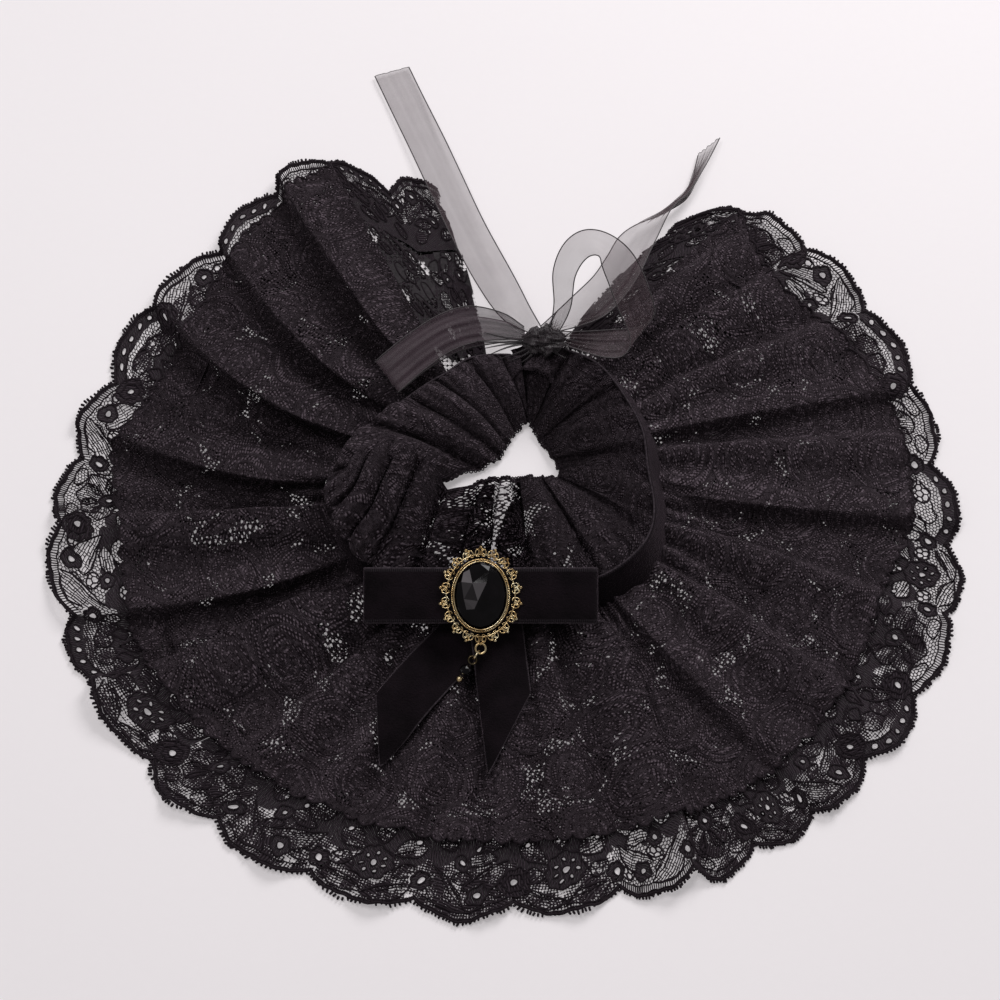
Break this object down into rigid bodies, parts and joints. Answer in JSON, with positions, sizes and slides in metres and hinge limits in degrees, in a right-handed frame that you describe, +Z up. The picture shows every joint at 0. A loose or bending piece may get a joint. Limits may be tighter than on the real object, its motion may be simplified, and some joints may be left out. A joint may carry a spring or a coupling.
{
  "type": "lace capelet collar",
  "caption": "Two-tier black lace capelet collar laid flat: scalloped hems, velvet neckband and bow, oval stone brooch with a bead drop, organza ribbon tied at the back.",
  "frame": {"origin": "middle of the outline, at the level of the surface the collar lies on", "axes": "+Z up from that surface; -Y toward the front with the bow and brooch; +X to the right seen from above"},
  "size_m": [0.3518, 0.3613, 0.0477],
  "materials": {
    "lace": "matte lace",
    "velvet": "velvet pile",
    "organza": "sheer organza",
    "antique_gold": "aged gold",
    "black_stone": "polished"
  },
  "bodies": {
    "collar": {"bow_bar": "velvet", "bow_tail_left": "velvet", "bow_tail_right": "velvet", "brooch_bezel": "antique_gold", "brooch_frame": "antique_gold", "brooch_loop": "antique_gold", "brooch_stone": "black_stone", "cape_lower_tier": "lace", "cape_upper_tier": "lace", "neck_band": "velvet", "neck_ruffle": "lace", "ribbon_knot": "organza", "ribbon_loop_left": "organza", "ribbon_loop_right": "organza", "ribbon_tail_left": "organza", "ribbon_tail_right": "organza"},
    "drop": {"drop_ring": "antique_gold", "drop_eye": "antique_gold", "drop_bead": "black_stone", "drop_cap": "antique_gold"}
  },
  "joints": [
    {"name": "drop_swing", "type": "hinge", "parent": "collar", "child": "drop", "pos_m": [-0.0089, -0.08281, 0.01662], "axis": [0, -0.342, 0.9397], "range_deg": [-50, 120]}
  ]
}
